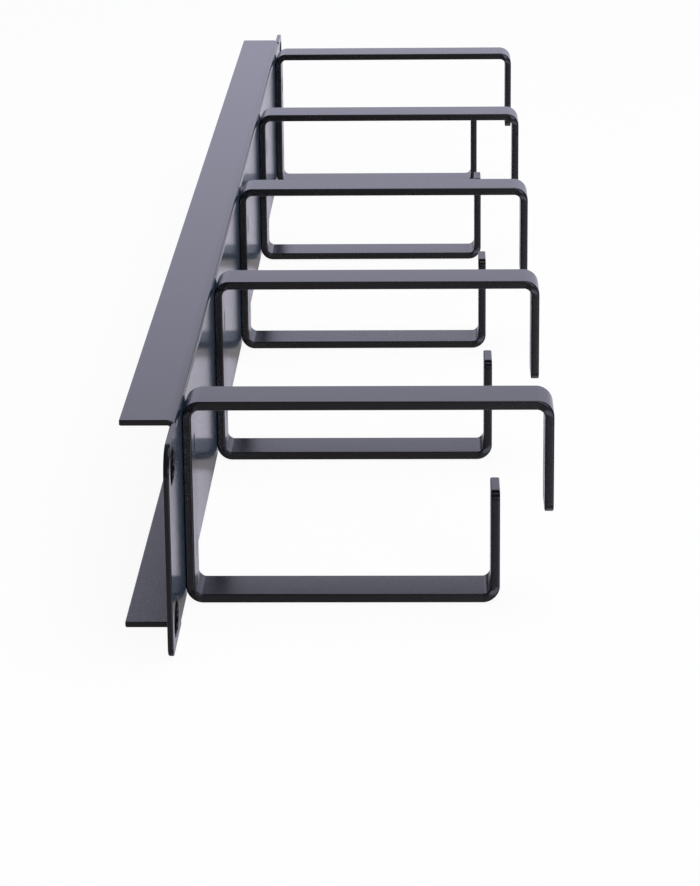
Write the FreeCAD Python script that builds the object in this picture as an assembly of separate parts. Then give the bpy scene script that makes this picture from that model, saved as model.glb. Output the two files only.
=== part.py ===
import FreeCAD
import Part

import math
import os

# Horizontal cable manager, one rack unit high, for a 19-inch rack.
#
# A folded steel panel carries five open rings of bent steel strip, spot welded to its face.
# Cables run along the panel inside the rings. They go in sideways, up through the gap between
# each ring's two lips, and the lips overlap so that they don't fall out again.
#
# Frame, in millimetres: X runs along the rack's width, -Y is the front, where the rings are, and
# +Z is up. The origin is the centre of the four rack slots, on the rear face of the ears, which
# is the plane that meets the rack's rails.

Vector = FreeCAD.Vector

# ---- driving dimensions ------------------------------------------------------------------------

# Rack standard
RACK_WIDTH = 482.6           # over both ears
SLOT_SPACING_X = 465.1       # between the two columns of rack holes
SLOT_SPACING_Z = 31.75       # between the outer holes of one rack unit

# Panel: one folded sheet, its flanges turned back from the face
PANEL_HEIGHT = 44.0
SHEET = 1.2                  # thickness
FLANGE_DEPTH = 11.5          # from the front of the face to a flange's rear edge
FOLD_RADIUS = 1.8            # outside of each fold
EAR_LENGTH = 19.7            # bare face past each end of the flanges
EAR_HEIGHT = 42.8
EAR_UPPER_CORNER = 6.0       # radius of the ears' upper outer corners
EAR_LOWER_CORNER = 2.0       # radius of their lower ones
SLOT_LENGTH = 10.5
SLOT_WIDTH = 6.8

# Rings: flat strip bent to an open hook, its lower arm shorter than its upper one
RING_COUNT = 5
RING_SPACING = 100.8
STRIP_WIDTH = 12.0
STRIP = 1.9                  # thickness
RING_HEIGHT = 43.4
UPPER_REACH = 76.0           # from the panel's face to the outside of the upper lip
LOWER_REACH = 65.0           # from the panel's face to the outside of the lower lip
LIP_LENGTH = 24.0            # each lip, its bend included
BEND_RADIUS = 3.5            # outside of each bend
LIP_CORNER = 2.0             # radius of the corners at both ends of the strip

# Spot welds: two to a ring, one above the other
WELD_SPACING = 21.6
WELD_DIAMETER = 5.6
WELD_DEPTH = 0.2             # of the dish that an electrode leaves
WELD_SLOPE = 0.5             # width of the dish's sloping rim

# Every cut edge is broken before the powder coat goes on
EDGE_BREAK = 0.2

# ---- derived places ----------------------------------------------------------------------------

FRONT_Y = -SHEET                             # front of the panel's face
REAR_Y = 0.0                                 # back of the face and of the ears
FLANGE_REAR_Y = FRONT_Y + FLANGE_DEPTH
FLANGE_END_X = RACK_WIDTH / 2 - EAR_LENGTH
FLAT_HALF_HEIGHT = PANEL_HEIGHT / 2 - FOLD_RADIUS    # of the face between its folds
EAR_ROOT = SHEET                             # how far an ear reaches into that flat
RING_PLACES = [(i - (RING_COUNT - 1) / 2) * RING_SPACING for i in range(RING_COUNT)]
WELD_HEIGHTS = (-WELD_SPACING / 2, WELD_SPACING / 2)

FORWARD = Vector(0, -1, 0)
BACKWARD = Vector(0, 1, 0)


# ---- finding edges -----------------------------------------------------------------------------

def near(value, target):
    """Whether two lengths are the same."""
    return abs(value - target) < 1e-6


def edges_where(shape, test):
    """The edges of a shape whose middle passes a test."""
    return [edge for edge in shape.Edges if test(edge.CenterOfMass)]


# ---- bent sheet and strip ----------------------------------------------------------------------

def offset_corners(corners, distance):
    """Corners of an open path in the Y-Z plane, moved sideways to the left of its direction."""
    ways = [(b - a).normalize() for a, b in zip(corners, corners[1:])]
    lefts = [Vector(0, -way.z, way.y) for way in ways]
    moved = [corners[0] + lefts[0] * distance]
    for corner, before, after in zip(corners[1:-1], lefts, lefts[1:]):
        mitre = distance / (1 + before.dot(after))
        moved.append(corner + (before + after) * mitre)
    moved.append(corners[-1] + lefts[-1] * distance)
    return moved


def rounded_path(corners, radius):
    """Edges along an open path: straight runs, with a tangent arc at each corner."""
    edges = []
    start = corners[0]
    for before, corner, after in zip(corners, corners[1:], corners[2:]):
        back = (before - corner).normalize()
        ahead = (after - corner).normalize()
        half_angle = back.getAngle(ahead) / 2
        tangent = radius / math.tan(half_angle)
        arc_depth = radius / math.sin(half_angle) - radius
        arc_start = corner + back * tangent
        arc_middle = corner + (back + ahead).normalize() * arc_depth
        arc_end = corner + ahead * tangent
        edges.append(Part.LineSegment(start, arc_start).toShape())
        edges.append(Part.Arc(arc_start, arc_middle, arc_end).toShape())
        start = arc_end
    edges.append(Part.LineSegment(start, corners[-1]).toShape())
    return edges


def bent_metal(outer_corners, thickness, outer_radius, width):
    """Sheet or strip bent along a path in the Y-Z plane, centred on X = 0.

    outer_corners are where the outside faces would meet if the bends were sharp, in an order
    that has the metal on the left. A bend keeps the thickness, so its two arcs share a centre.
    """
    inner_corners = offset_corners(outer_corners, thickness)
    outside = rounded_path(outer_corners, outer_radius)
    inside = rounded_path(inner_corners[::-1], outer_radius - thickness)
    far_end = Part.LineSegment(outer_corners[-1], inner_corners[-1]).toShape()
    near_end = Part.LineSegment(inner_corners[0], outer_corners[0]).toShape()
    section = Part.Face(Part.Wire(outside + [far_end] + inside + [near_end]))
    section.translate(Vector(-width / 2, 0, 0))
    return section.extrude(Vector(width, 0, 0))


# ---- cutters -----------------------------------------------------------------------------------

def rack_slot(centre):
    """Cutter for one round-ended slot, long in X, through an upright sheet."""
    radius = SLOT_WIDTH / 2
    reach = SLOT_LENGTH / 2 - radius
    outline = [
        Part.LineSegment(Vector(-reach, 0, radius), Vector(reach, 0, radius)),
        Part.Arc(
            Vector(reach, 0, radius), Vector(reach + radius, 0, 0), Vector(reach, 0, -radius)
        ),
        Part.LineSegment(Vector(reach, 0, -radius), Vector(-reach, 0, -radius)),
        Part.Arc(
            Vector(-reach, 0, -radius), Vector(-reach - radius, 0, 0), Vector(-reach, 0, radius)
        ),
    ]
    face = Part.Face(Part.Wire([piece.toShape() for piece in outline]))
    face.translate(centre + BACKWARD * SHEET)
    return face.extrude(FORWARD * (3 * SHEET))


def weld_dish(centre, outward):
    """Cutter for the shallow round dish that a spot welder's electrode presses into a face."""
    floor_radius = WELD_DIAMETER / 2 - WELD_SLOPE
    height = 2 * WELD_DEPTH
    open_radius = floor_radius + height * WELD_SLOPE / WELD_DEPTH
    floor = centre - outward * WELD_DEPTH
    return Part.makeCone(floor_radius, open_radius, height, floor, outward)


# ---- panel -------------------------------------------------------------------------------------

def channel():
    """The face with its two flanges, as far along as the flanges run."""
    half = PANEL_HEIGHT / 2
    outer_corners = [
        Vector(0, FLANGE_REAR_Y, half),
        Vector(0, FRONT_Y, half),
        Vector(0, FRONT_Y, -half),
        Vector(0, FLANGE_REAR_Y, -half),
    ]
    sheet = bent_metal(outer_corners, SHEET, FOLD_RADIUS, 2 * FLANGE_END_X)
    cut_edges = edges_where(
        sheet, lambda middle: near(abs(middle.x), FLANGE_END_X) or near(middle.y, FLANGE_REAR_Y)
    )
    return sheet.makeChamfer(EDGE_BREAK, cut_edges)


def ear(side):
    """One ear, which is the face carried on past the flanges, with its two rack slots.

    It is a little taller than the flat between the folds, so it has a shoulder at each flange's
    end. Its root fills that flat just inside the shoulders, where it joins the channel.
    """
    end = side * RACK_WIDTH / 2
    shoulder = side * FLANGE_END_X
    root = shoulder - side * EAR_ROOT
    edge = EAR_HEIGHT / 2
    upper_half = [
        (root, FLAT_HALF_HEIGHT),
        (shoulder, FLAT_HALF_HEIGHT),
        (shoulder, edge),
        (end, edge),
    ]
    lower_half = [(x, -z) for x, z in reversed(upper_half)]
    corners = [Vector(x, FRONT_Y, z) for x, z in upper_half + lower_half]
    plate = Part.Face(Part.makePolygon(corners + corners[:1])).extrude(BACKWARD * SHEET)

    for height, radius in ((edge, EAR_UPPER_CORNER), (-edge, EAR_LOWER_CORNER)):
        corner = edges_where(
            plate, lambda middle: near(middle.x, end) and near(middle.z, height)
        )
        plate = plate.makeFillet(radius, corner)

    for z in (-SLOT_SPACING_Z / 2, SLOT_SPACING_Z / 2):
        plate = plate.cut(rack_slot(Vector(side * SLOT_SPACING_X / 2, REAR_Y, z)))

    def is_cut_edge(middle):
        on_a_face = near(middle.y, FRONT_Y) or near(middle.y, REAR_Y)
        return on_a_face and abs(middle.x) > FLANGE_END_X + EDGE_BREAK

    return plate.makeChamfer(EDGE_BREAK, edges_where(plate, is_cut_edge))


def make_panel():
    """The whole panel: face, flanges and ears are one sheet, marked behind by the spot welds."""
    panel = channel().fuse([ear(-1), ear(1)]).removeSplitter()
    marks = [
        weld_dish(Vector(x, REAR_Y, z), BACKWARD) for x in RING_PLACES for z in WELD_HEIGHTS
    ]
    return panel.cut(marks)


# ---- rings -------------------------------------------------------------------------------------

def make_ring():
    """One ring in the middle of the panel, its back leg flat against the panel's face."""
    half = RING_HEIGHT / 2
    upper_lip_y = FRONT_Y - UPPER_REACH
    lower_lip_y = FRONT_Y - LOWER_REACH
    lip_end = half - LIP_LENGTH
    outer_corners = [
        Vector(0, lower_lip_y, -lip_end),
        Vector(0, lower_lip_y, -half),
        Vector(0, FRONT_Y, -half),
        Vector(0, FRONT_Y, half),
        Vector(0, upper_lip_y, half),
        Vector(0, upper_lip_y, lip_end),
    ]
    strip = bent_metal(outer_corners, STRIP, BEND_RADIUS, STRIP_WIDTH)

    def is_strip_end(middle):
        upper = near(middle.z, lip_end) and middle.y < lower_lip_y
        lower = near(middle.z, -lip_end) and lower_lip_y <= middle.y < lower_lip_y + STRIP
        return upper or lower

    end_corners = edges_where(
        strip, lambda middle: is_strip_end(middle) and near(abs(middle.x), STRIP_WIDTH / 2)
    )
    strip = strip.makeFillet(LIP_CORNER, end_corners)

    def is_cut_edge(middle):
        along_side = near(abs(middle.x), STRIP_WIDTH / 2)
        across_end = is_strip_end(middle) and near(middle.x, 0)
        return along_side or across_end

    strip = strip.makeChamfer(EDGE_BREAK, edges_where(strip, is_cut_edge))
    inside_y = FRONT_Y - STRIP
    dishes = [weld_dish(Vector(0, inside_y, z), FORWARD) for z in WELD_HEIGHTS]
    return strip.cut(dishes)


# ---- the five rings and the panel, each to its own file ----------------------------------------

os.makedirs("parts", exist_ok=True)
make_panel().exportStep("parts/panel.step")

ring = make_ring()
for number, x in enumerate(RING_PLACES, start=1):
    placed = ring.copy()
    placed.translate(Vector(x, 0, 0))
    placed.exportStep(f"parts/cable_ring_{number}.step")
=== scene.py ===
import logging
import math
from dataclasses import dataclass, field
from enum import Enum
from functools import cached_property
from typing import Any, Callable, Sequence

import bmesh
import bpy
from mathutils import Euler, Matrix, Vector


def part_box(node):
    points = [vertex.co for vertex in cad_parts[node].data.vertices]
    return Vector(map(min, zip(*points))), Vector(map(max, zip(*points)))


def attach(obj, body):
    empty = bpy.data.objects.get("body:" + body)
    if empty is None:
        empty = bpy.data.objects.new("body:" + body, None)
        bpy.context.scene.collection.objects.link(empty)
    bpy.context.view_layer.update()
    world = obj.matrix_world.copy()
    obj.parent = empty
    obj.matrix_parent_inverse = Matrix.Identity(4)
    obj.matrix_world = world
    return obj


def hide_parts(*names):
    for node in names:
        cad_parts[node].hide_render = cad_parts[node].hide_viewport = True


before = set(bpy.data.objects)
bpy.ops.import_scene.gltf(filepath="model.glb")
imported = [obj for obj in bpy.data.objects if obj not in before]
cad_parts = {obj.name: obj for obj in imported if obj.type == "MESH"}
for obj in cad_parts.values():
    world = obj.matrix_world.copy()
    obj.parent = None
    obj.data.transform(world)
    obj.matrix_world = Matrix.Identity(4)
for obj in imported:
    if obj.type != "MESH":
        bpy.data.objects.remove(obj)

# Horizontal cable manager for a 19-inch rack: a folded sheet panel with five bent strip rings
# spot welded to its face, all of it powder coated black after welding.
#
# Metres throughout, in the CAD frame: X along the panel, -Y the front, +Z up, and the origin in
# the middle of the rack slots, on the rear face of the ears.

log = logging.getLogger("cable_manager")

MM = 0.001
CLOSE = 0.01 * MM                 # lengths that differ by less than this are the same
HAIR = 0.001 * MM                 # less than any real gap
RIGHT_ANGLE = math.pi / 2
SHARP_ANGLE = math.radians(50)    # an edge turned by more than this is sharp
AREA_WEIGHT = 100                 # out of 100: the larger face decides the normals at an edge
WHITE = (1.0, 1.0, 1.0, 1.0)
BODY = "root"
PANEL_NODE = "panel"
RING_NODES = tuple(sorted(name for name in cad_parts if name.startswith("cable_ring_")))
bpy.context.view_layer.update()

Test = Callable[[Vector], bool]   # says whether what is at a place is wanted


class Axis(Enum):
    """A direction of the frame."""

    X = (1.0, 0.0, 0.0)
    DOWN = (0.0, 0.0, -1.0)
    FORWARD = (0.0, -1.0, 0.0)
    BACKWARD = (0.0, 1.0, 0.0)


class Element(Enum):
    """What a selection is made of."""

    EDGES = "EDGE"
    POINTS = "VERT"


class Joining(Enum):
    """What one solid does to another."""

    ADD = "UNION"
    CUT = "DIFFERENCE"


# ---- working in edit mode ----------------------------------------------------------------------

def near(value: float, target: float) -> bool:
    """Says whether two lengths are the same, within a hundredth of a millimetre."""
    return abs(value - target) < CLOSE


def box_of(node: str) -> tuple[Vector, Vector]:
    """Gives the lowest and the highest corner of a CAD node."""
    low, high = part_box(node)
    return Vector(low), Vector(high)


def deselect_all() -> None:
    """Deselects every object."""
    bpy.ops.object.select_all(action="DESELECT")


def anywhere(middle: Vector) -> bool:
    """Passes every place."""
    return True


def take_up(piece: bpy.types.Object) -> None:
    """Makes a piece the only one selected, and the active one.

    Args:
        piece: The piece.
    """
    deselect_all()
    piece.select_set(True)
    bpy.context.view_layer.objects.active = piece


def settle(piece: bpy.types.Object) -> None:
    """Moves a piece's place, turn and size into its mesh, so that its object is at the origin."""
    take_up(piece)
    bpy.ops.object.transform_apply(location=True, rotation=True, scale=True)


def middle_of(points: Sequence[bmesh.types.BMVert]) -> Vector:
    """Gives the middle of an edge's two points, or the place of a single one."""
    return sum((point.co for point in points), Vector()) / len(points)


def pick(piece: bpy.types.Object, element: Element, test: Test) -> int:
    """Selects the edges or points of the piece in edit mode that pass a test.

    Args:
        piece: The piece, which is in edit mode.
        element: What is wanted.
        test: Takes the middle of each and says whether it is wanted.

    Returns:
        How many were selected.
    """
    bpy.ops.mesh.select_mode(type=element.value)
    bpy.ops.mesh.select_all(action="DESELECT")
    mesh = bmesh.from_edit_mesh(piece.data)
    if element is Element.EDGES:
        middles = {edge: middle_of(edge.verts) for edge in mesh.edges}
    else:
        middles = {point: middle_of([point]) for point in mesh.verts}
    found = [part for part, middle in middles.items() if test(middle)]
    for part in found:
        part.select_set(True)
    mesh.select_flush_mode()
    bmesh.update_edit_mesh(piece.data)
    return len(found)


def round_sharp_edges(piece: bpy.types.Object, test: Test, radius: float, steps: int) -> None:
    """Rounds the sharp edges of a piece in edit mode whose middle passes a test.

    Args:
        piece: The piece, which is in edit mode.
        test: Takes the middle of an edge and says whether it is wanted.
        radius: How far the rounding reaches back from the edge.
        steps: Facets across it.
    """
    bpy.ops.mesh.select_mode(type="EDGE")
    bpy.ops.mesh.select_all(action="DESELECT")
    bpy.ops.mesh.edges_select_sharp(sharpness=SHARP_ANGLE)
    mesh = bmesh.from_edit_mesh(piece.data)
    for edge in mesh.edges:
        if edge.select and not test(middle_of(edge.verts)):
            edge.select_set(False)
    bmesh.update_edit_mesh(piece.data)
    bpy.ops.mesh.bevel(offset=radius, segments=steps, affect="EDGES", clamp_overlap=False)


def round_edges(piece: bpy.types.Object, test: Test, radius: float, steps: int) -> None:
    """Rounds the edges of a piece in edit mode whose middle passes a test.

    Args:
        piece: The piece, which is in edit mode.
        test: Takes the middle of an edge and says whether it is wanted.
        radius: How far the rounding reaches back from the edge.
        steps: Facets across it.
    """
    if not pick(piece, Element.EDGES, test):
        raise ValueError(f"{piece.name}: no such edge to round")
    bpy.ops.mesh.bevel(offset=radius, segments=steps, affect="EDGES", clamp_overlap=False)


def combine(piece: bpy.types.Object, tool: bpy.types.Object, how: Joining) -> None:
    """Joins a tool to a piece or cuts it away, and removes the tool.

    Args:
        piece: The piece that is kept.
        tool: The other solid, which goes.
        how: What the tool does to the piece.
    """
    take_up(piece)
    modifier = piece.modifiers.new("Joining", "BOOLEAN")
    modifier.operation = how.value
    modifier.solver = "EXACT"
    modifier.object = tool
    bpy.ops.object.modifier_apply(modifier=modifier.name)
    bpy.data.objects.remove(tool)


def close_seams(piece: bpy.types.Object) -> None:
    """Merges the points that fall together where solids were combined.

    Args:
        piece: The piece.
    """
    take_up(piece)
    bpy.ops.object.mode_set(mode="EDIT")
    bpy.ops.mesh.select_all(action="SELECT")
    bpy.ops.mesh.remove_doubles(threshold=HAIR)
    bpy.ops.object.mode_set(mode="OBJECT")


def smooth(piece: bpy.types.Object) -> None:
    """Shades bends and rounded edges smoothly while flat faces stay flat.

    Args:
        piece: The finished piece.
    """
    take_up(piece)
    bpy.ops.object.shade_smooth_by_angle(angle=SHARP_ANGLE)
    modifier = piece.modifiers.new("Weighted normals", "WEIGHTED_NORMAL")
    modifier.mode = "FACE_AREA"
    modifier.weight = AREA_WEIGHT
    modifier.keep_sharp = True
    bpy.ops.object.modifier_apply(modifier=modifier.name)


# ---- bending strip and sheet -------------------------------------------------------------------

@dataclass
class Bender:
    """Strip or sheet bent to shape, run by run, from a flat cross-section.

    The metal runs in the Y-Z plane, and its width lies along X.

    Attributes:
        name: What the piece is called.
        middle_x: The middle of its width.
        width: Its width, along X.
        thickness: Its thickness.
        radius: The outside of each bend.
        steps: Facets round each bend.
        piece: The mesh so far.
        heading: The way that the metal runs at its growing end.
        outer: The outside of the metal at its growing end.
        turn: 1 where the bends turn one way about X, and -1 where they turn the other way.
        stations: The places along the bends between their facets: the inside and the outside of
            the metal there, and how far round the bend they are, from 0 to 1.
    """

    name: str
    middle_x: float
    width: float
    thickness: float
    radius: float
    steps: int
    piece: bpy.types.Object = field(init=False)
    heading: Vector = field(init=False)
    outer: Vector = field(init=False)
    turn: float = field(init=False)
    stations: list[tuple[Vector, Vector, float]] = field(default_factory=list)

    def start(self, outer: Vector, heading: Axis, inward: Axis) -> None:
        """Sets out the cross-section at the metal's first end, and stays in edit mode.

        Args:
            outer: A point of the end on the outside of the first bend, in the Y-Z plane.
            heading: The way that the metal runs from there.
            inward: The way from the outside of the metal to its inside.
        """
        self.heading = Vector(heading.value)
        self.outer = Vector(outer)
        inwards = Vector(inward.value)
        self.turn = 1.0 if self.heading.cross(inwards).x > 0 else -1.0
        middle = self.outer + inwards * self.thickness / 2
        middle.x = self.middle_x
        turned = RIGHT_ANGLE if heading in (Axis.FORWARD, Axis.BACKWARD) else 0.0
        deselect_all()
        bpy.ops.mesh.primitive_plane_add(size=1.0, location=middle, rotation=(turned, 0, 0))
        self.piece = bpy.context.active_object
        self.piece.name = self.name
        self.piece.scale = (self.width, self.thickness, 1.0)
        settle(self.piece)
        bpy.ops.object.mode_set(mode="EDIT")
        bpy.ops.mesh.select_mode(type="FACE")
        bpy.ops.mesh.select_all(action="SELECT")

    def run(self, length: float) -> None:
        """Carries the metal straight on.

        Args:
            length: How far.
        """
        step = self.heading * length
        bpy.ops.mesh.extrude_region_move(TRANSFORM_OT_translate={"value": step})
        self.outer += step

    def bend(self) -> None:
        """Bends the metal inwards by a right angle."""
        inward = Vector(Axis.X.value).cross(self.heading) * self.turn
        centre = self.outer + inward * self.radius
        centre.x = self.middle_x
        bpy.ops.mesh.spin(
            steps=self.steps,
            angle=-RIGHT_ANGLE * self.turn,
            center=centre,
            axis=Axis.X.value,
            use_auto_merge=False,
        )
        for step in range(1, self.steps):
            share = step / self.steps
            angle = share * RIGHT_ANGLE
            outward = self.heading * math.sin(angle) - inward * math.cos(angle)
            inside = centre + outward * (self.radius - self.thickness)
            self.stations.append((inside, centre + outward * self.radius, share))
        self.outer = centre + self.heading * self.radius
        self.heading = inward

    def finish(self) -> bpy.types.Object:
        """Closes the mesh.

        Returns:
            The piece, still in edit mode.
        """
        bpy.ops.mesh.select_all(action="SELECT")
        bpy.ops.mesh.remove_doubles(threshold=HAIR)
        bpy.ops.mesh.normals_make_consistent(inside=False)
        return self.piece

    def swell(self, inside: float, outside: float) -> None:
        """Gives each bend the form of cold-bent metal, wider inside and narrower outside.

        Args:
            inside: How far each side stands out at the inside of a bend, half-way round.
            outside: How far each side is drawn in at the outside.
        """
        half_width = self.width / 2
        for inner, outer, share in self.stations:
            swelling = math.sin(share * math.pi) ** 2
            for point, growth in ((inner, inside), (outer, -outside)):
                self.widen(point, 1 + growth * swelling / half_width)

    def widen(self, point: Vector, factor: float) -> None:
        """Spreads or narrows the metal at one place.

        Args:
            point: The place, in the Y-Z plane.
            factor: How much wider the metal becomes there.
        """

        def beside_point(place: Vector) -> bool:
            """Passes the points on both sides of the metal at that place."""
            return near(place.y, point.y) and near(place.z, point.z)

        both_sides = 2
        if pick(self.piece, Element.POINTS, beside_point) != both_sides:
            raise ValueError(f"{self.name}: no such place on a bend")
        bpy.ops.transform.resize(value=(factor, 1, 1), center_override=(self.middle_x, 0, 0))


@dataclass(frozen=True)
class SpotWeld:
    """One spot weld: a shallow dish that the electrode leaves in each outside face.

    Attributes:
        height: Where it is, above the panel's middle.
        depth: Depth of the dish.
        diameter: Its width at the face.
        slope: Width of the sloping ring round its flat bottom.
        steps: Facets round it.
    """

    height: float
    depth: float
    diameter: float = 5.6 * MM
    slope: float = 0.5 * MM
    steps: int = 48

    def press(self, piece: bpy.types.Object, x: float, face_y: float, outward: Axis) -> None:
        """Cuts the dish into a piece.

        Args:
            piece: The piece.
            x: The middle of the dish, along the panel.
            face_y: The face that it is pressed into.
            outward: The way that the face looks, along Y.
        """
        # The face cuts the cone half-way up, where the cone is as wide as the dish.
        rim = self.diameter / 2
        turn = RIGHT_ANGLE if outward is Axis.FORWARD else -RIGHT_ANGLE
        deselect_all()
        bpy.ops.mesh.primitive_cone_add(
            vertices=self.steps,
            radius1=rim - self.slope,
            radius2=rim + self.slope,
            depth=2 * self.depth,
            location=(x, face_y, self.height),
            rotation=(turn, 0, 0),
        )
        cutter = bpy.context.active_object
        cutter.name = "dish"
        settle(cutter)
        combine(piece, cutter, Joining.CUT)


# ---- finish ------------------------------------------------------------------------------------

def linear(colour: str) -> tuple[float, float, float, float]:
    """Turns an sRGB hex colour into a linear one.

    Args:
        colour: Such as "#1a1b1e".

    Returns:
        Red, green, blue and alpha.
    """
    parts = [int(colour[i : i + 2], 16) / 255 for i in (1, 3, 5)]
    red, green, blue = (
        part / 12.92 if part <= 0.04045 else ((part + 0.055) / 1.055) ** 2.4 for part in parts
    )
    return (red, green, blue, 1.0)


def add_node(
    tree: bpy.types.NodeTree, kind: str, links: dict[Any, Any] | None = None, **settings: Any
) -> bpy.types.Node:
    """Adds a node to a tree with its settings and links.

    Args:
        tree: The tree.
        kind: The node's type, such as "ShaderNodeTexNoise".
        links: What each input takes: an output socket to link, or a plain value.
        **settings: The node's own settings.

    Returns:
        The node.
    """
    node = tree.nodes.new(kind)
    for name, value in settings.items():
        setattr(node, name, value)
    for name, value in (links or {}).items():
        if isinstance(value, bpy.types.NodeSocket):
            tree.links.new(value, node.inputs[name])
        else:
            node.inputs[name].default_value = value
    return node


def empty_tree(owner: bpy.types.Material | bpy.types.World) -> bpy.types.NodeTree:
    """Gives a material or a world a node tree with nothing in it.

    Args:
        owner: The material or the world.

    Returns:
        The tree.
    """
    owner.use_nodes = True
    owner.node_tree.nodes.clear()
    return owner.node_tree


@dataclass(frozen=True)
class Fade:
    """A soft change from one level to another along a coordinate.

    Attributes:
        start: Where it begins.
        stop: Where it ends.
        low: The level before it.
        high: The level after it.
    """

    start: float
    stop: float
    low: float
    high: float

    def ranges(self, along: bpy.types.NodeSocket) -> dict[str, Any]:
        """Says what a Map Range node takes for the fade.

        Args:
            along: The coordinate.

        Returns:
            The node's inputs.
        """
        return {
            "Value": along,
            "From Min": self.start,
            "From Max": self.stop,
            "To Min": self.low,
            "To Max": self.high,
        }


@dataclass(frozen=True)
class PowderCoat:
    """Black polyester powder coat, baked semi-matte over steel.

    The powder melts to a skin with a fine grain, which blurs what it mirrors. It is an ordinary
    plastic film: nearly black face on, and at a glancing angle it mirrors a pale room. The grain
    scatters blue light more than red, so a faint blue haze lies over what is mirrored dark.
    Little powder reaches the inside of a folded sheet, so the skin stays coarser there.

    Attributes:
        name: What the coat lies on.
        roughness: Its roughness, at the middle of its range.
        slot: Not used.
        colour: Where the skin is darkest.
        pale_colour: Where it is palest.
        ior: Its index of refraction.
        spread: How far the roughness strays from its middle.
        inside_roughness: What is added to it inside the folded sheet.
        haze: The colour of the haze.
        haze_share: How strong it is.
        haze_roughness: How wide it spreads.
        mottle: Size of the patches of colour and roughness.
        mottle_detail: How many finer layers they have.
        grain: Size of the grain.
        grain_detail: How many finer layers it has.
        grain_fineness: How strong each of those is beside the one before it.
        grain_depth: Height of the grain.
        inside_grain_depth: The same inside the folded sheet.
        inside_depth: How far behind the sheet's face the skin is at its coarsest.
        inside_reach: How far from the sheet's middle its inside reaches, up and down.
        inside_border: How wide the change is at the end of that reach.
    """

    name: str
    roughness: float
    slot: str = "black_powder_coat"
    colour: str = "#0c0c0e"
    pale_colour: str = "#101013"
    ior: float = 1.5
    spread: float = 0.01
    inside_roughness: float = 0.14
    haze: str = "#8cb5da"
    haze_share: float = 0.15
    haze_roughness: float = 0.3
    mottle: float = 9.0 * MM
    mottle_detail: float = 3.0
    grain: float = 0.45 * MM
    grain_detail: float = 2.0
    grain_fineness: float = 0.6
    grain_depth: float = 0.008 * MM
    inside_grain_depth: float = 0.09 * MM
    inside_depth: float = 3.0 * MM
    inside_reach: float = 21.4 * MM
    inside_border: float = 0.5 * MM

    def inside(
        self, tree: bpy.types.NodeTree, place: bpy.types.NodeSocket
    ) -> bpy.types.NodeSocket:
        """Measures how far inside the folded sheet a place is.

        Args:
            tree: The material's node tree.
            place: The place, in the frame.

        Returns:
            The measure, which goes from 0 outside to 1 well inside.
        """
        depth = Fade(start=0.0, stop=self.inside_depth, low=0.0, high=1.0)
        border_start = self.inside_reach - self.inside_border
        border = Fade(start=border_start, stop=self.inside_reach, low=1.0, high=0.0)
        parts = add_node(tree, "ShaderNodeSeparateXYZ", {0: place})
        height = add_node(tree, "ShaderNodeMath", {0: parts.outputs["Z"]}, operation="ABSOLUTE")
        behind = add_node(
            tree,
            "ShaderNodeMapRange",
            depth.ranges(parts.outputs["Y"]),
            interpolation_type="SMOOTHSTEP",
        )
        between = add_node(
            tree,
            "ShaderNodeMapRange",
            border.ranges(height.outputs[0]),
            interpolation_type="SMOOTHSTEP",
        )
        both = add_node(
            tree,
            "ShaderNodeMath",
            {0: behind.outputs[0], 1: between.outputs[0]},
            operation="MULTIPLY",
        )
        return both.outputs[0]

    def relief(
        self,
        tree: bpy.types.NodeTree,
        place: bpy.types.NodeSocket,
        inside: bpy.types.NodeSocket,
    ) -> bpy.types.NodeSocket:
        """Raises the grain.

        Args:
            tree: The material's node tree.
            place: The place, in the frame.
            inside: How far inside the folded sheet it is.

        Returns:
            The normal.
        """
        grain = add_node(
            tree,
            "ShaderNodeTexNoise",
            {
                "Vector": place,
                "Scale": 1 / self.grain,
                "Detail": self.grain_detail,
                "Roughness": self.grain_fineness,
            },
        )
        depth = add_node(
            tree,
            "ShaderNodeMath",
            {0: inside, 1: self.inside_grain_depth - self.grain_depth, 2: self.grain_depth},
            operation="MULTIPLY_ADD",
        )
        bump = add_node(
            tree,
            "ShaderNodeBump",
            {"Height": grain.outputs["Fac"], "Distance": depth.outputs[0], "Strength": 1.0},
        )
        return bump.outputs["Normal"]

    def blur(
        self,
        tree: bpy.types.NodeTree,
        mottle: bpy.types.NodeSocket,
        inside: bpy.types.NodeSocket,
    ) -> bpy.types.NodeSocket:
        """Sets how rough the skin is.

        Args:
            tree: The material's node tree.
            mottle: The patches.
            inside: How far inside the folded sheet a place is.

        Returns:
            The roughness.
        """
        outside = add_node(
            tree,
            "ShaderNodeMapRange",
            {
                "Value": mottle,
                "To Min": self.roughness - self.spread,
                "To Max": self.roughness + self.spread,
            },
        )
        roughness = add_node(
            tree,
            "ShaderNodeMath",
            {0: inside, 1: self.inside_roughness, 2: outside.outputs[0]},
            operation="MULTIPLY_ADD",
        )
        return roughness.outputs[0]

    def material(self) -> bpy.types.Material:
        """Makes the material, or finds it if it is made already.

        Returns:
            The material.
        """
        name = "black_powder_coat_on_" + self.name
        if name in bpy.data.materials:
            return bpy.data.materials[name]
        material = bpy.data.materials.new(name)
        tree = empty_tree(material)
        place = add_node(tree, "ShaderNodeTexCoord").outputs["Object"]
        inside = self.inside(tree, place)
        mottle = add_node(
            tree,
            "ShaderNodeTexNoise",
            {"Vector": place, "Scale": 1 / self.mottle, "Detail": self.mottle_detail},
        )
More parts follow.
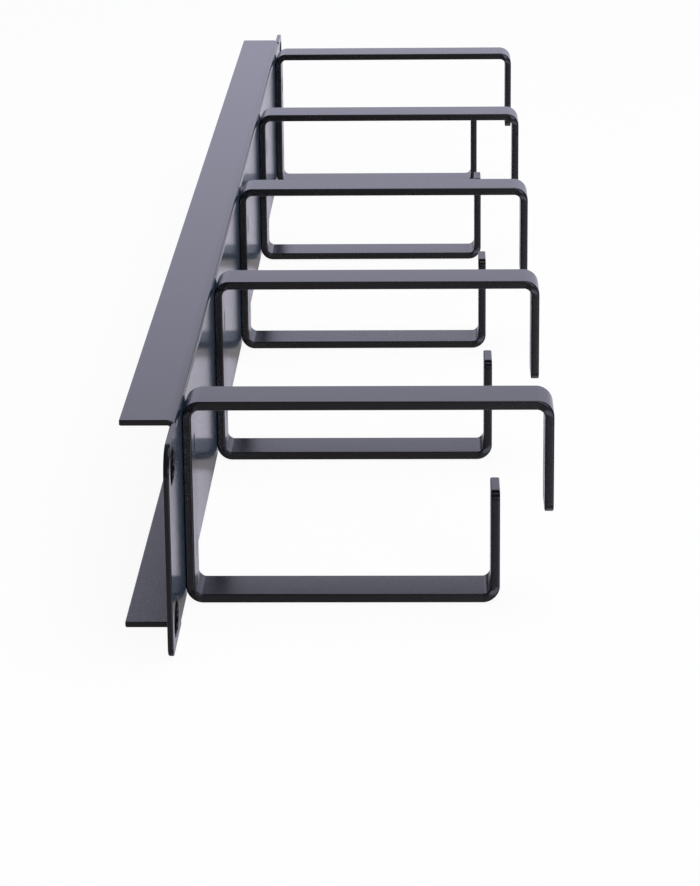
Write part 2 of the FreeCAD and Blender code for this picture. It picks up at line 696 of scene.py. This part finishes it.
        # Inputs 6 and 7 and output 2 are those that a Mix node has for colours.
        colour = add_node(
            tree,
            "ShaderNodeMix",
            {
                "Factor": mottle.outputs["Fac"],
                6: linear(self.colour),
                7: linear(self.pale_colour),
            },
            data_type="RGBA",
        )
        shader = add_node(
            tree,
            "ShaderNodeBsdfPrincipled",
            {
                "Base Color": colour.outputs[2],
                "Roughness": self.blur(tree, mottle.outputs["Fac"], inside),
                "IOR": self.ior,
                "Sheen Weight": self.haze_share,
                "Sheen Roughness": self.haze_roughness,
                "Sheen Tint": linear(self.haze),
                "Normal": self.relief(tree, place, inside),
            },
        )
        add_node(tree, "ShaderNodeOutputMaterial", {"Surface": shader.outputs["BSDF"]})
        return material

    def dress(self, piece: bpy.types.Object) -> None:
        """Puts the coat on a piece."""
        piece.data.materials.clear()
        piece.data.materials.append(self.material())


# ---- the object's pieces -----------------------------------------------------------------------

@dataclass
class CableRing:
    """The five like rings of flat steel strip, each bent to an open hook with two lips.

    Attributes:
        welds: The two spot welds that hold a ring to the panel.
        strip_width: Width of the strip.
        strip: Thickness of the strip.
        lower_reach: From the panel's face to the outside of the lower lip.
        lip_length: Each lip, its bend included.
        bend_radius: Outside of each bend.
        lip_corner: Radius of the corners at both ends of the strip.
        bulge: How far bending spreads the strip at the inside of a bend.
        draw_in: How far it narrows the strip at the outside.
        edge_radius: How far shearing and the coat round each cut edge.
        bend_steps: Facets round a bend.
        corner_steps: Facets round a corner of the strip.
        edge_steps: Facets across a rounded edge.
    """

    welds: Sequence[SpotWeld]
    strip_width: float = 12.0 * MM
    strip: float = 1.9 * MM
    lower_reach: float = 65.0 * MM
    lip_length: float = 24.0 * MM
    bend_radius: float = 3.5 * MM
    lip_corner: float = 2.0 * MM
    bulge: float = 0.22 * MM
    draw_in: float = 0.12 * MM
    edge_radius: float = 0.32 * MM
    bend_steps: int = 14
    corner_steps: int = 8
    edge_steps: int = 4

    def bent_strip(self, name: str, low: Vector, high: Vector) -> bpy.types.Object:
        """Bends the strip, from its lower end round to its upper one.

        Args:
            name: What it is called.
            low: The ring's lowest corner.
            high: Its highest corner.

        Returns:
            The strip, in edit mode.
        """
        bender = Bender(
            name,
            (low.x + high.x) / 2,
            self.strip_width,
            self.strip,
            self.bend_radius,
            self.bend_steps,
        )
        lower_end = Vector((0, high.y - self.lower_reach, low.z + self.lip_length))
        bender.start(lower_end, Axis.DOWN, Axis.BACKWARD)
        bender.run(self.lip_length - self.bend_radius)
        # Along the lower arm, up the back leg and along the upper arm.
        for length in (self.lower_reach, high.z - low.z, high.y - low.y):
            bender.bend()
            bender.run(length - 2 * self.bend_radius)
        bender.bend()
        bender.run(self.lip_length - self.bend_radius)
        strip = bender.finish()
        bender.swell(self.bulge, self.draw_in)
        return strip

    def model(self, node: str) -> bpy.types.Object:
        """Models one ring where its CAD node is.

        Args:
            node: The CAD node that gives the ring's place.

        Returns:
            The ring's mesh, whole and closed.
        """
        low, high = box_of(node)
        middle_x = (low.x + high.x) / 2
        ends = (low.z + self.lip_length, high.z - self.lip_length)
        ring = self.bent_strip(node + "_strip", low, high)

        def at_end_corner(middle: Vector) -> bool:
            """Passes the short edges at the corners of the strip's two ends."""
            at_side = near(abs(middle.x - middle_x), self.strip_width / 2)
            return at_side and any(near(middle.z, end) for end in ends)

        round_edges(ring, at_end_corner, self.lip_corner, self.corner_steps)
        round_sharp_edges(ring, anywhere, self.edge_radius, self.edge_steps)
        bpy.ops.object.mode_set(mode="OBJECT")
        for weld in self.welds:
            weld.press(ring, middle_x, high.y - self.strip, Axis.FORWARD)
        return ring

    def build(self, nodes: Sequence[str], finish: PowderCoat) -> list[bpy.types.Object]:
        """Makes every ring: the first is modelled, and the others are copies of it.

        Args:
            nodes: The rings' CAD nodes.
            finish: The coat.

        Returns:
            The rings.
        """
        first = self.model(nodes[0])
        smooth(first)
        home, _ = box_of(nodes[0])
        rings = []
        for node in nodes:
            ring = first if node == nodes[0] else first.copy()
            if ring is not first:
                place, _ = box_of(node)
                ring.data = first.data.copy()
                ring.data.transform(Matrix.Translation(place - home))
                bpy.context.scene.collection.objects.link(ring)
            ring.name = node + "_strip"
            ring.data.name = ring.name
            rings.append(ring)
        for ring, node in zip(rings, nodes):
            finish.dress(ring)
            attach(ring, BODY)
            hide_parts(node)
        return rings


@dataclass
class Panel:
    """The folded sheet: its face, its two flanges and its two ears with their rack slots.

    Attributes:
        welds: A ring's two spot welds, which mark the back of the face.
        sheet: Thickness of the sheet.
        fold_radius: Outside of each fold.
        ear_length: Bare face past each end of the flanges.
        ear_height: Height of an ear.
        upper_corner: Radius of an ear's upper outer corner.
        lower_corner: Radius of its lower outer corner.
        slot_spacing_x: Between the two columns of rack slots.
        slot_spacing_z: Between the two slots of a column.
        slot_length: Length of a rack slot, end to end.
        slot_width: Width of a rack slot.
        corner_radius: Radius at the rear corners of the flanges.
        front_edge: How far shearing and the coat round each cut edge in front and outside.
        rear_edge: The same behind, where the punch leaves the sheet.
        root_lap: How far an ear's root reaches into the ear.
        fold_steps: Facets round a fold.
        corner_steps: Facets round a corner.
        edge_steps: Facets across a rounded edge.
    """

    welds: Sequence[SpotWeld]
    sheet: float = 1.2 * MM
    fold_radius: float = 1.8 * MM
    ear_length: float = 19.7 * MM
    ear_height: float = 42.8 * MM
    upper_corner: float = 6.0 * MM
    lower_corner: float = 2.0 * MM
    slot_spacing_x: float = 465.1 * MM
    slot_spacing_z: float = 31.75 * MM
    slot_length: float = 10.5 * MM
    slot_width: float = 6.8 * MM
    corner_radius: float = 0.5 * MM
    front_edge: float = 0.24 * MM
    rear_edge: float = 0.38 * MM
    root_lap: float = 0.5 * MM
    fold_steps: int = 12
    corner_steps: int = 12
    edge_steps: int = 4

    @cached_property
    def shoulder(self) -> float:
        """Where the flanges end and the ears begin, to both sides of the middle."""
        return box_of(PANEL_NODE)[1].x - self.ear_length

    @cached_property
    def back_y(self) -> float:
        """The back of the face and of the ears."""
        return box_of(PANEL_NODE)[0].y + self.sheet

    def channel(self) -> bpy.types.Object:
        """Bends the sheet's face and flanges, as far along as the flanges run.

        Returns:
            The channel.
        """
        low, high = box_of(PANEL_NODE)
        bender = Bender(
            PANEL_NODE + "_sheet",
            (low.x + high.x) / 2,
            2 * self.shoulder,
            self.sheet,
            self.fold_radius,
            self.fold_steps,
        )
        depth = high.y - low.y
        bender.start(Vector((0, high.y, high.z)), Axis.FORWARD, Axis.DOWN)
        bender.run(depth - self.fold_radius)
        bender.bend()
        bender.run(high.z - low.z - 2 * self.fold_radius)
        bender.bend()
        bender.run(depth - self.fold_radius)
        channel = bender.finish()

        def at_rear_corner(middle: Vector) -> bool:
            """Passes the short edges at the rear corners of both flanges."""
            return near(middle.y, high.y) and near(abs(middle.x), self.shoulder)

        round_edges(channel, at_rear_corner, self.corner_radius, self.edge_steps)
        round_sharp_edges(channel, anywhere, self.front_edge, self.edge_steps)
        bpy.ops.object.mode_set(mode="OBJECT")
        return channel

    def plate(self, name: str, low: Vector, high: Vector) -> bpy.types.Object:
        """Makes a rectangular block and leaves it in edit mode.

        Args:
            name: What it is called.
            low: Its lowest corner.
            high: Its highest corner.

        Returns:
            The block.
        """
        deselect_all()
        bpy.ops.mesh.primitive_cube_add(size=1.0, location=(low + high) / 2)
        block = bpy.context.active_object
        block.name = name
        block.scale = high - low
        settle(block)
        bpy.ops.object.mode_set(mode="EDIT")
        return block

    def ear(self, side: int) -> bpy.types.Object:
        """Cuts one ear to shape, with its two slots.

        Args:
            side: -1 for the left ear and 1 for the right one.

        Returns:
            The ear.
        """
        low, high = box_of(PANEL_NODE)
        edge = self.ear_height / 2
        left, right = sorted((side * self.shoulder, side * high.x))
        ear = self.plate("ear", Vector((left, low.y, -edge)), Vector((right, self.back_y, edge)))
        self.round_corner(ear, side * high.x, edge, self.upper_corner)
        self.round_corner(ear, side * high.x, -edge, self.lower_corner)
        bpy.ops.object.mode_set(mode="OBJECT")
        for level in (-self.slot_spacing_z / 2, self.slot_spacing_z / 2):
            place = Vector((side * self.slot_spacing_x / 2, (low.y + self.back_y) / 2, level))
            combine(ear, self.slot_cutter(place), Joining.CUT)

        take_up(ear)
        bpy.ops.object.mode_set(mode="EDIT")
        self.round_cut_edges(ear, low.y, self.front_edge)
        self.round_cut_edges(ear, self.back_y, self.rear_edge)
        bpy.ops.object.mode_set(mode="OBJECT")
        return ear

    def round_corner(
        self, ear: bpy.types.Object, end_x: float, level: float, radius: float
    ) -> None:
        """Rounds one outer corner of an ear.

        Args:
            ear: The ear, in edit mode.
            end_x: Where the ear ends.
            level: The height of the corner.
            radius: Its radius.
        """

        def at_corner(middle: Vector) -> bool:
            """Passes the short edge at the corner."""
            return near(middle.x, end_x) and near(middle.z, level)

        round_edges(ear, at_corner, radius, self.corner_steps)

    def round_cut_edges(self, ear: bpy.types.Object, face_y: float, radius: float) -> None:
        """Rounds the cut edges on one face of an ear, along its outside and in its slots.

        Args:
            ear: The ear, in edit mode.
            face_y: The face.
            radius: How far the rounding reaches back from an edge.
        """

        def is_cut(middle: Vector) -> bool:
            """Passes the edges of the face, apart from the one at the channel."""
            return near(middle.y, face_y) and not near(abs(middle.x), self.shoulder)

        round_sharp_edges(ear, is_cut, radius, self.edge_steps)

    def root(self, side: int) -> bpy.types.Object:
        """Makes the root of an ear, which fills the channel's flat face just inside its end.

        Args:
            side: -1 for the left ear and 1 for the right one.

        Returns:
            The root.
        """
        low, high = box_of(PANEL_NODE)
        flat = high.z - self.fold_radius
        ends = (self.shoulder - self.sheet, self.shoulder + self.root_lap)
        left, right = sorted(side * end for end in ends)
        root = self.plate("root", Vector((left, low.y, -flat)), Vector((right, self.back_y, flat)))
        bpy.ops.object.mode_set(mode="OBJECT")
        return root

    def slot_cutter(self, place: Vector) -> bpy.types.Object:
        """Makes the cutter for one rack slot, with round ends.

        Args:
            place: The middle of the slot, half-way through the sheet.

        Returns:
            The cutter.
        """
        reach = Vector((self.slot_length / 2, 2 * self.sheet, self.slot_width / 2))
        cutter = self.plate("slot", place - reach, place + reach)

        def at_end_corner(middle: Vector) -> bool:
            """Passes the four edges that run through the sheet."""
            at_end = near(abs(middle.x - place.x), reach.x)
            return at_end and near(abs(middle.z - place.z), reach.z)

        round_edges(cutter, at_end_corner, reach.z - HAIR, 2 * self.corner_steps)
        bpy.ops.object.mode_set(mode="OBJECT")
        return cutter

    def build(self, ring_places: Sequence[float], finish: PowderCoat) -> bpy.types.Object:
        """Makes the panel.

        Args:
            ring_places: The middle of each ring, along X.
            finish: The coat.

        Returns:
            The panel.
        """
        panel = self.channel()
        for side in (-1, 1):
            ear = self.ear(side)
            combine(ear, self.root(side), Joining.ADD)
            combine(panel, ear, Joining.ADD)
        for place in ring_places:
            for weld in self.welds:
                weld.press(panel, place, self.back_y, Axis.BACKWARD)
        close_seams(panel)
        smooth(panel)
        finish.dress(panel)
        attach(panel, BODY)
        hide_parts(PANEL_NODE)
        return panel


# ---- studio ------------------------------------------------------------------------------------

@dataclass(frozen=True)
class Lamp:
    """A soft box.

    Attributes:
        name: What it is called.
        place: Its middle.
        aim: What it points at.
        power: Its power, in watts.
        colour: The colour of its light.
        width: Its width.
        height: Its height.
    """

    name: str
    place: tuple[float, float, float]
    aim: tuple[float, float, float]
    power: float
    colour: str = "#ffffff"
    width: float = 0.9
    height: float = 0.7

    def hang(self) -> None:
        """Puts the lamp in the scene."""
        data = bpy.data.lights.new(self.name, "AREA")
        data.shape = "RECTANGLE"
        data.size = self.width
        data.size_y = self.height
        data.energy = self.power
        data.color = linear(self.colour)[:3]
        lamp = bpy.data.objects.new(self.name, data)
        lamp.location = self.place
        away = Vector(self.place) - Vector(self.aim)
        lamp.rotation_euler = away.to_track_quat("Z", "Y").to_euler()
        bpy.context.scene.collection.objects.link(lamp)


@dataclass(frozen=True)
class Camera:
    """The camera: beyond the left ear, it looks along the panel and down on it.

    Attributes:
        place: Where it is.
        heading: How far it looks to the left of +X, in radians.
        fall: How far it looks down, in radians.
        roll: How far it leans clockwise, in radians.
        lens: Its focal length, in millimetres.
        film: The width of its film, in millimetres.
    """

    place: tuple[float, float, float] = (-843.796 * MM, -53.513 * MM, 205.348 * MM)
    heading: float = 0.0283
    fall: float = 0.2936
    roll: float = 0.0104
    lens: float = 132.285
    film: float = 36.0

    def set_up(self) -> None:
        """Puts the camera in the scene and makes it the one in use."""
        data = bpy.data.cameras.new("camera")
        data.sensor_width = self.film
        data.lens = self.lens
        camera = bpy.data.objects.new("camera", data)
        camera.location = self.place
        aim = Euler((RIGHT_ANGLE - self.fall, 0, self.heading - RIGHT_ANGLE)).to_matrix()
        lean = Matrix.Rotation(-self.roll, 3, "Z")
        camera.rotation_euler = (aim @ lean).to_euler()
        bpy.context.scene.collection.objects.link(camera)
        bpy.context.scene.camera = camera


@dataclass(frozen=True)
class Studio:
    """A pale table under a white canopy that stops short of the camera, with two soft boxes.

    The camera sees plain white round the object. What the coat mirrors is dimmer: the far end
    of the canopy, the table beyond, and near the camera the unlit room.

    Attributes:
        table_size: Width of the table.
        table_z: Its height, at the foot of the object.
        table_colour: Its surface, which the coat mirrors.
        table_sheen: How much of it is a satin reflection.
        table_roughness: The roughness of that.
        table_glow: How much light it gives off itself.
        seen_colour: Its surface as the camera sees it.
        seen_glow: How much white the camera sees on it.
        canopy_colour: The canopy's cloth.
        canopy_way: Where the canopy is brightest: beyond the object and below its edge.
        canopy_fade: How bright it is, from all round to there.
        canopy_sides: How that falls off towards both sides.
        lamps: The soft boxes.
        camera: The camera.
    """

    table_size: float = 30.0
    table_z: float = -22 * MM
    table_colour: str = "#d2c7c2"
    table_sheen: float = 0.65
    table_roughness: float = 0.2
    table_glow: float = 0.3
    seen_colour: str = "#707070"
    seen_glow: float = 0.93
    canopy_colour: str = "#e8e7ff"
    canopy_way: tuple[float, float, float] = (0.94, 0.0, -0.34)
    canopy_fade: Fade = Fade(start=0.5, stop=0.84, low=0.2, high=0.98)
    canopy_sides: Fade = Fade(start=0.12, stop=0.36, low=1.0, high=0.66)
    lamps: tuple[Lamp, ...] = (
        Lamp("top_box", place=(0.0, -0.3, 1.1), aim=(0.0, 0.0, 0.0), power=3.0),
        Lamp(
            "key_box",
            place=(-1.7, -0.65, 0.6),
            aim=(-0.2, -0.05, 0.0),
            power=7.0,
            colour="#dde4ff",
        ),
    )
    camera: Camera = Camera()

    def mirrored_table(self, tree: bpy.types.NodeTree) -> bpy.types.NodeSocket:
        """Makes the table's surface as the coat mirrors it: satin, and glowing a little.

        Args:
            tree: The table's node tree.

        Returns:
            The surface.
        """
        chalk = add_node(tree, "ShaderNodeBsdfDiffuse", {"Color": linear(self.table_colour)})
        gloss = add_node(
            tree, "ShaderNodeBsdfGlossy", {"Color": WHITE, "Roughness": self.table_roughness}
        )
        satin = add_node(
            tree,
            "ShaderNodeMixShader",
            {0: self.table_sheen, 1: chalk.outputs[0], 2: gloss.outputs[0]},
        )
        glow = add_node(
            tree,
            "ShaderNodeEmission",
            {"Color": linear(self.table_colour), "Strength": self.table_glow},
        )
        both = add_node(tree, "ShaderNodeAddShader", {0: satin.outputs[0], 1: glow.outputs[0]})
        return both.outputs[0]

    def seen_table(self, tree: bpy.types.NodeTree) -> bpy.types.NodeSocket:
        """Makes the table's surface as the camera sees it: white, with a soft shadow.

        Args:
            tree: The table's node tree.

        Returns:
            The surface.
        """
        matte = add_node(tree, "ShaderNodeBsdfDiffuse", {"Color": linear(self.seen_colour)})
        glow = add_node(
            tree, "ShaderNodeEmission", {"Color": WHITE, "Strength": self.seen_glow}
        )
        both = add_node(tree, "ShaderNodeAddShader", {0: matte.outputs[0], 1: glow.outputs[0]})
        return both.outputs[0]

    def floor(self) -> None:
        """Lays the table under the object."""
        deselect_all()
        bpy.ops.mesh.primitive_plane_add(size=self.table_size, location=(0, 0, self.table_z))
        floor = bpy.context.active_object
        floor.name = "floor"
        settle(floor)
        material = bpy.data.materials.new("white_table")
        tree = empty_tree(material)
        rays = add_node(tree, "ShaderNodeLightPath")
        surface = add_node(
            tree,
            "ShaderNodeMixShader",
            {
                0: rays.outputs["Is Camera Ray"],
                1: self.mirrored_table(tree),
                2: self.seen_table(tree),
            },
        )
        add_node(tree, "ShaderNodeOutputMaterial", {"Surface": surface.outputs[0]})
        floor.data.materials.append(material)

    def canopy(self, tree: bpy.types.NodeTree) -> bpy.types.NodeSocket:
        """Makes the canopy as the coat mirrors it.

        Args:
            tree: The world's node tree.

        Returns:
            The canopy's light.
        """
        way = add_node(tree, "ShaderNodeTexCoord").outputs["Generated"]
        along = add_node(
            tree, "ShaderNodeVectorMath", {0: way, 1: self.canopy_way}, operation="DOT_PRODUCT"
        )
        lengthwise = add_node(
            tree,
            "ShaderNodeMapRange",
            self.canopy_fade.ranges(along.outputs["Value"]),
            interpolation_type="SMOOTHSTEP",
        )
        parts = add_node(tree, "ShaderNodeSeparateXYZ", {0: way})
        across = add_node(tree, "ShaderNodeMath", {0: parts.outputs["Y"]}, operation="ABSOLUTE")
        sideways = add_node(
            tree,
            "ShaderNodeMapRange",
            self.canopy_sides.ranges(across.outputs[0]),
            interpolation_type="SMOOTHSTEP",
        )
        level = add_node(
            tree,
            "ShaderNodeMath",
            {0: lengthwise.outputs[0], 1: sideways.outputs[0]},
            operation="MULTIPLY",
        )
        cloth = add_node(
            tree,
            "ShaderNodeBackground",
            {"Color": linear(self.canopy_colour), "Strength": level.outputs[0]},
        )
        return cloth.outputs[0]

    def world(self) -> None:
        """Surrounds the object with the canopy, in front of a backdrop of plain white."""
        world = bpy.data.worlds.new("canopy")
        bpy.context.scene.world = world
        tree = empty_tree(world)
        backdrop = add_node(tree, "ShaderNodeBackground", {"Color": WHITE, "Strength": 1.0})
        rays = add_node(tree, "ShaderNodeLightPath")
        surface = add_node(
            tree,
            "ShaderNodeMixShader",
            {0: rays.outputs["Is Camera Ray"], 1: self.canopy(tree), 2: backdrop.outputs[0]},
        )
        add_node(tree, "ShaderNodeOutputWorld", {"Surface": surface.outputs[0]})

    def build(self) -> None:
        """Sets up the whole studio."""
        self.floor()
        self.world()
        for lamp in self.lamps:
            lamp.hang()
        self.camera.set_up()
        bpy.context.scene.view_settings.view_transform = "Standard"


# ---- putting it together -----------------------------------------------------------------------


def main() -> None:
    """Builds the pieces in order, then the studio."""
    logging.basicConfig(level=logging.INFO, format="%(name)s: %(message)s")
    deselect_all()
    welds = (
        SpotWeld(height=-10.8 * MM, depth=0.07 * MM),
        SpotWeld(height=10.8 * MM, depth=0.12 * MM),
    )
    rings = CableRing(welds).build(RING_NODES, PowderCoat("strip", roughness=0.175))
    places = [sum(corner[0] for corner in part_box(node)) / 2 for node in RING_NODES]
    panel = Panel(welds).build(places, PowderCoat("sheet", roughness=0.14))
    for piece in (*rings, panel):
        log.info("%s: %d faces", piece.name, len(piece.data.polygons))
    Studio().build()


if __name__ == "__main__":
    main()
